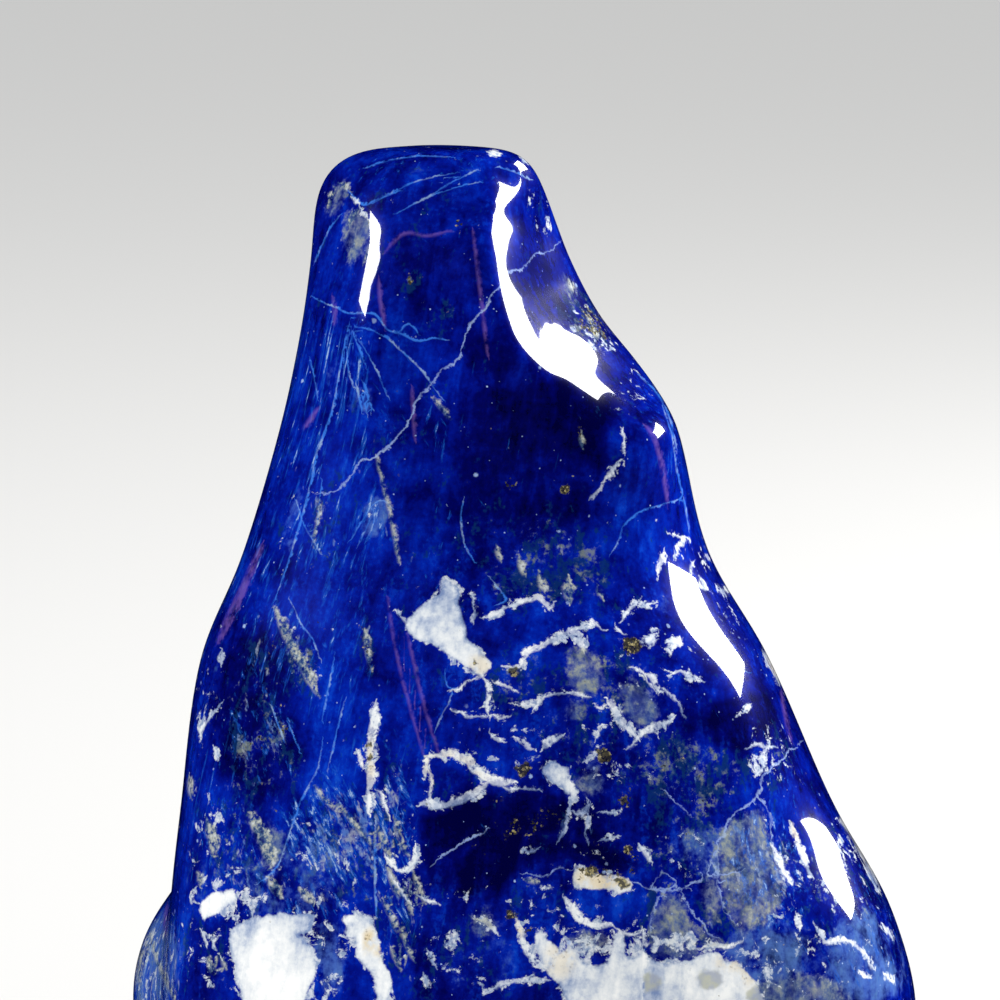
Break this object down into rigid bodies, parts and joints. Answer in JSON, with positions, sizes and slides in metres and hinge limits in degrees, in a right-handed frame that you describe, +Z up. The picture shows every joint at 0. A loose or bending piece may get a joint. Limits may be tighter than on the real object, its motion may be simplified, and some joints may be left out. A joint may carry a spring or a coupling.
{
  "type": "polished lapis lazuli freeform",
  "caption": "Polished freeform lapis lazuli stone, blue with white calcite veins and pyrite, standing upright on a flat cut base.",
  "frame": {"origin": "on the flat base, under the centre of the bounding box", "axes": "+Z up to the knob, +X to the right of a viewer facing the stone, the front faces -Y"},
  "size_m": [0.0878, 0.058, 0.111],
  "materials": {
    "lapis": "polished lapis lazuli, ultramarine to navy with white calcite veins and grains of pyrite"
  },
  "bodies": {
    "root": {"stone": "lapis"}
  },
  "joints": []
}
